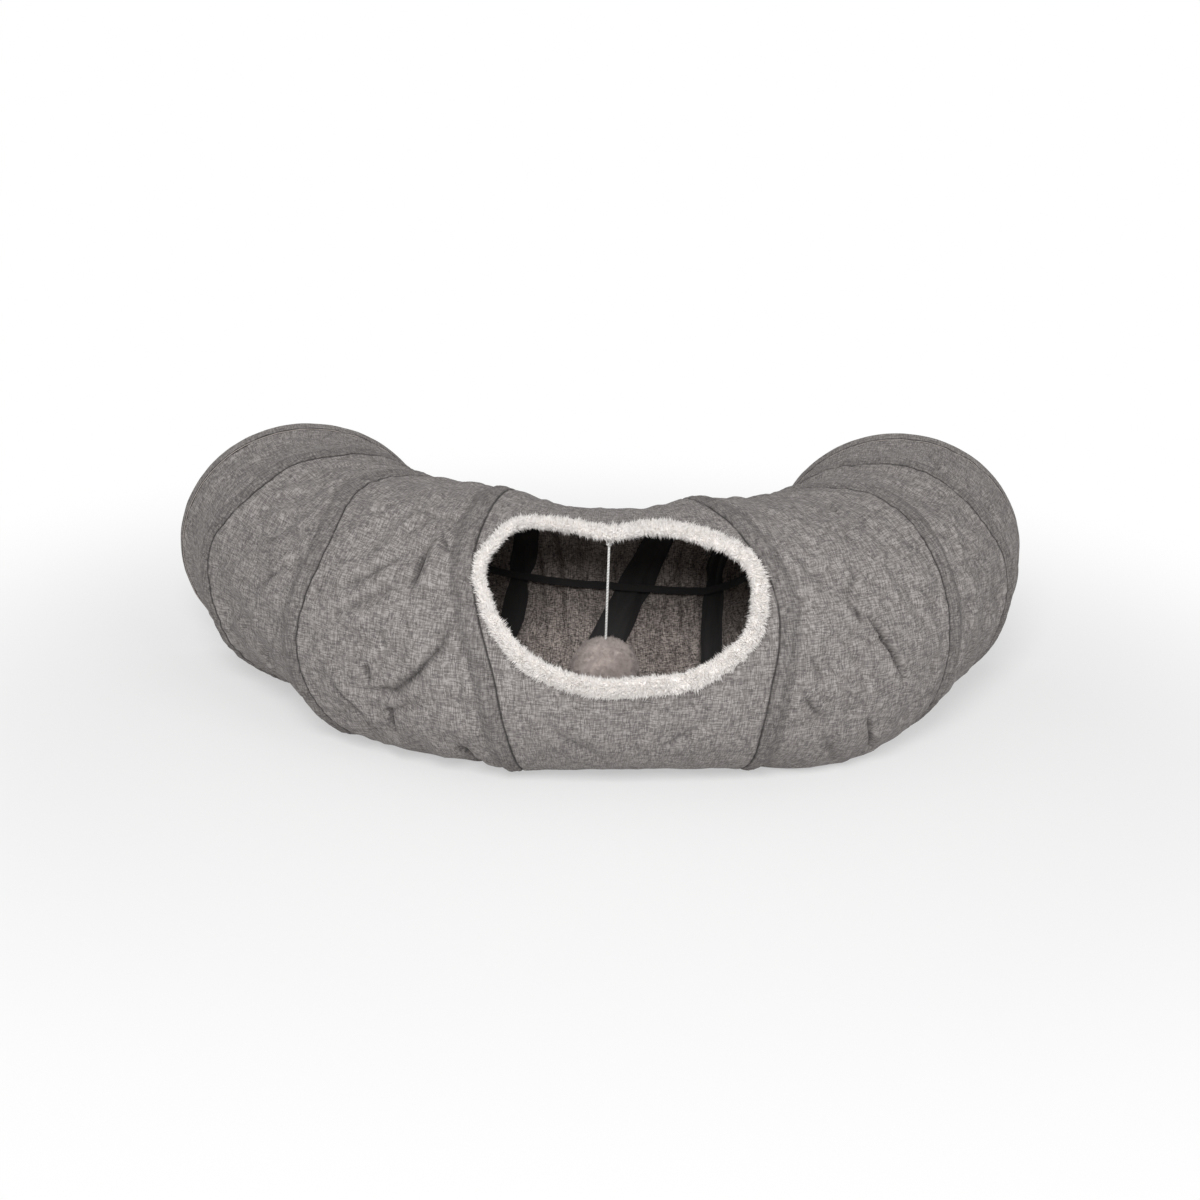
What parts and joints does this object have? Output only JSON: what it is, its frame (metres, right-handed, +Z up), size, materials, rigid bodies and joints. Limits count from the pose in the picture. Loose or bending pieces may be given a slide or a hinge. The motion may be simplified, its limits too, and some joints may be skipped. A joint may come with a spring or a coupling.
{
  "type": "curved pop-up cat tunnel",
  "caption": "Curved pop-up cat tunnel of heather cloth on a spiral spring wire, open at both ends, with a plush-edged peephole and a ball hanging inside.",
  "frame": {"origin": "on the floor, in the middle of the flat underside of the peephole bay", "axes": "+X along the tunnel's longest side, to the right as seen from the peephole's side; +Z up; the outer side of the bend and the peephole face -Y"},
  "size_m": [0.84, 0.4026, 0.2412],
  "materials": {
    "heather_cloth": "grey heather linen-look polyester",
    "black_tape": "near-black woven polyester tape",
    "spring_steel": "drawn spring wire",
    "plush": "off-white short plush",
    "cord": "white polyester cord",
    "faux_fur": "greige long-pile faux fur"
  },
  "bodies": {
    "peephole_bay": {"peephole_panel": "heather_cloth", "peephole_roll": "plush", "spring_wire": "spring_steel", "gathering_strap": "black_tape", "left_wire_tape_1": "black_tape", "right_wire_tape_1": "black_tape"},
    "left_bay_1": {"left_panel_1": "heather_cloth", "left_wire_tape_2": "black_tape"},
    "left_bay_2": {"left_panel_2": "heather_cloth", "left_wire_tape_3": "black_tape"},
    "left_mouth": {"left_panel_3": "heather_cloth", "left_mouth_hem": "heather_cloth"},
    "right_bay_1": {"right_panel_1": "heather_cloth", "right_wire_tape_2": "black_tape"},
    "right_bay_2": {"right_panel_2": "heather_cloth", "right_wire_tape_3": "black_tape"},
    "right_mouth": {"right_panel_3": "heather_cloth", "right_wire_tape_4": "black_tape", "right_mouth_hem": "heather_cloth"},
    "cord_top": {"cord_knot": "cord"},
    "ball": {"ball_cord": "cord", "plush_ball": "faux_fur"}
  },
  "joints": [
    {"name": "left_fold_1", "type": "hinge", "parent": "peephole_bay", "child": "left_bay_1", "pos_m": [0, 0.3, 0], "axis": [0, 0, 1], "range_deg": [0, 20.64], "stiffness_Nm_per_rad": 0.2, "deforming": ["left_panel_1", "left_panel_2", "left_panel_3", "left_wire_tape_1", "left_wire_tape_2", "left_wire_tape_3", "peephole_panel", "spring_wire", "gathering_strap"]},
    {"name": "left_fold_2", "type": "hinge", "parent": "left_bay_1", "child": "left_bay_2", "pos_m": [0, 0.3, 0], "axis": [0, 0, 1], "range_deg": [0, 17.6], "deforming": ["left_panel_1", "left_panel_2", "left_panel_3", "left_wire_tape_1", "left_wire_tape_2", "left_wire_tape_3", "peephole_panel", "spring_wire", "gathering_strap"]},
    {"name": "left_fold_3", "type": "hinge", "parent": "left_bay_2", "child": "left_mouth", "pos_m": [0, 0.3, 0], "axis": [0, 0, 1], "range_deg": [0, 16.72], "deforming": ["left_panel_1", "left_panel_2", "left_panel_3", "left_wire_tape_1", "left_wire_tape_2", "left_wire_tape_3", "peephole_panel", "spring_wire", "gathering_strap"]},
    {"name": "right_fold_1", "type": "hinge", "parent": "peephole_bay", "child": "right_bay_1", "pos_m": [0, 0.3, 0], "axis": [0, 0, -1], "range_deg": [0, 22.83], "stiffness_Nm_per_rad": 0.2, "deforming": ["right_panel_1", "right_panel_2", "right_panel_3", "right_wire_tape_1", "right_wire_tape_2", "right_wire_tape_3", "right_wire_tape_4", "peephole_panel", "spring_wire", "gathering_strap"]},
    {"name": "right_fold_2", "type": "hinge", "parent": "right_bay_1", "child": "right_bay_2", "pos_m": [0, 0.3, 0], "axis": [0, 0, -1], "range_deg": [0, 15.84], "deforming": ["right_panel_1", "right_panel_2", "right_panel_3", "right_wire_tape_1", "right_wire_tape_2", "right_wire_tape_3", "right_wire_tape_4", "peephole_panel", "spring_wire", "gathering_strap"]},
    {"name": "right_fold_3", "type": "hinge", "parent": "right_bay_2", "child": "right_mouth", "pos_m": [0, 0.3, 0], "axis": [0, 0, -1], "range_deg": [0, 16.28], "deforming": ["right_panel_1", "right_panel_2", "right_panel_3", "right_wire_tape_1", "right_wire_tape_2", "right_wire_tape_3", "right_wire_tape_4", "peephole_panel", "spring_wire", "gathering_strap"]},
    {"name": "ball_sway", "type": "hinge", "parent": "peephole_bay", "child": "cord_top", "pos_m": [-0.01095, -0.03014, 0.21903], "axis": [0, 1, 0], "range_deg": [-32, 32]},
    {"name": "ball_swing", "type": "hinge", "parent": "cord_top", "child": "ball", "pos_m": [-0.01095, -0.03014, 0.21903], "axis": [1, 0, 0], "range_deg": [-22, 50]}
  ],
  "couplings": [
    {"joint": "left_fold_2", "follows": "left_fold_1", "ratio": 0.85154},
    {"joint": "left_fold_3", "follows": "left_fold_1", "ratio": 0.80907},
    {"joint": "right_fold_2", "follows": "right_fold_1", "ratio": 0.69317},
    {"joint": "right_fold_3", "follows": "right_fold_1", "ratio": 0.71238}
  ]
}
